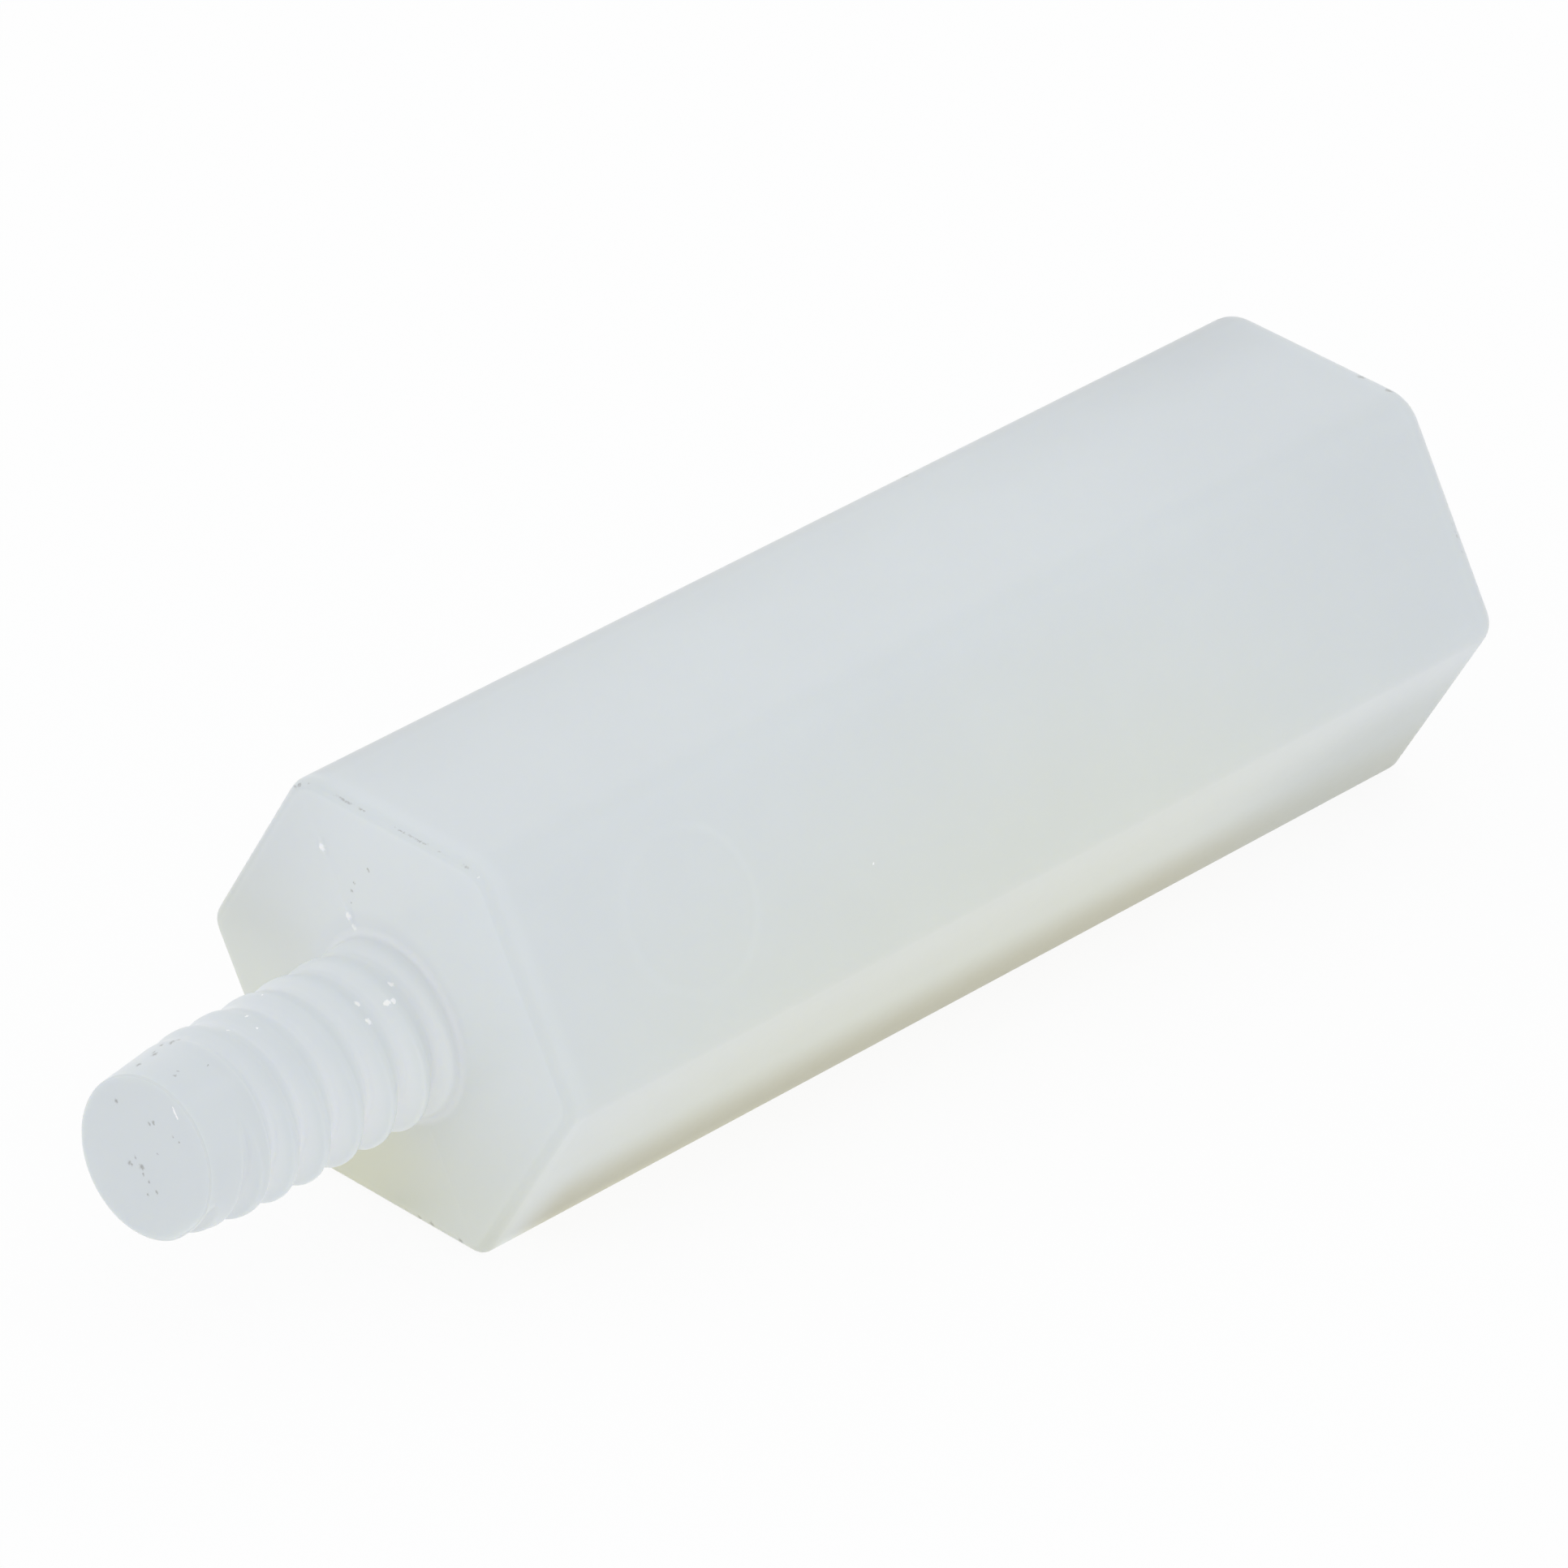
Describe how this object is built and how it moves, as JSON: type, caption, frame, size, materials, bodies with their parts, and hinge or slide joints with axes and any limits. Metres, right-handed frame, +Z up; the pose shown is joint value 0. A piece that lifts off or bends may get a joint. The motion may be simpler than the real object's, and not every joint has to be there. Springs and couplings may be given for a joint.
{
  "type": "hex standoff",
  "caption": "Moulded nylon hex standoff with a threaded stud on one end and a blind tapped hole in the other.",
  "frame": {"origin": "middle of the shoulder face at the root of the stud, on the common axis", "axes": "+X along the axis from the stud towards the tapped end; +Z up, out of the flat opposite the one it lies on"},
  "size_m": [0.0238, 0.0072, 0.0064],
  "materials": {
    "nylon": "natural milky nylon, satin, slightly translucent"
  },
  "bodies": {
    "root": {"standoff": "nylon"}
  },
  "joints": []
}
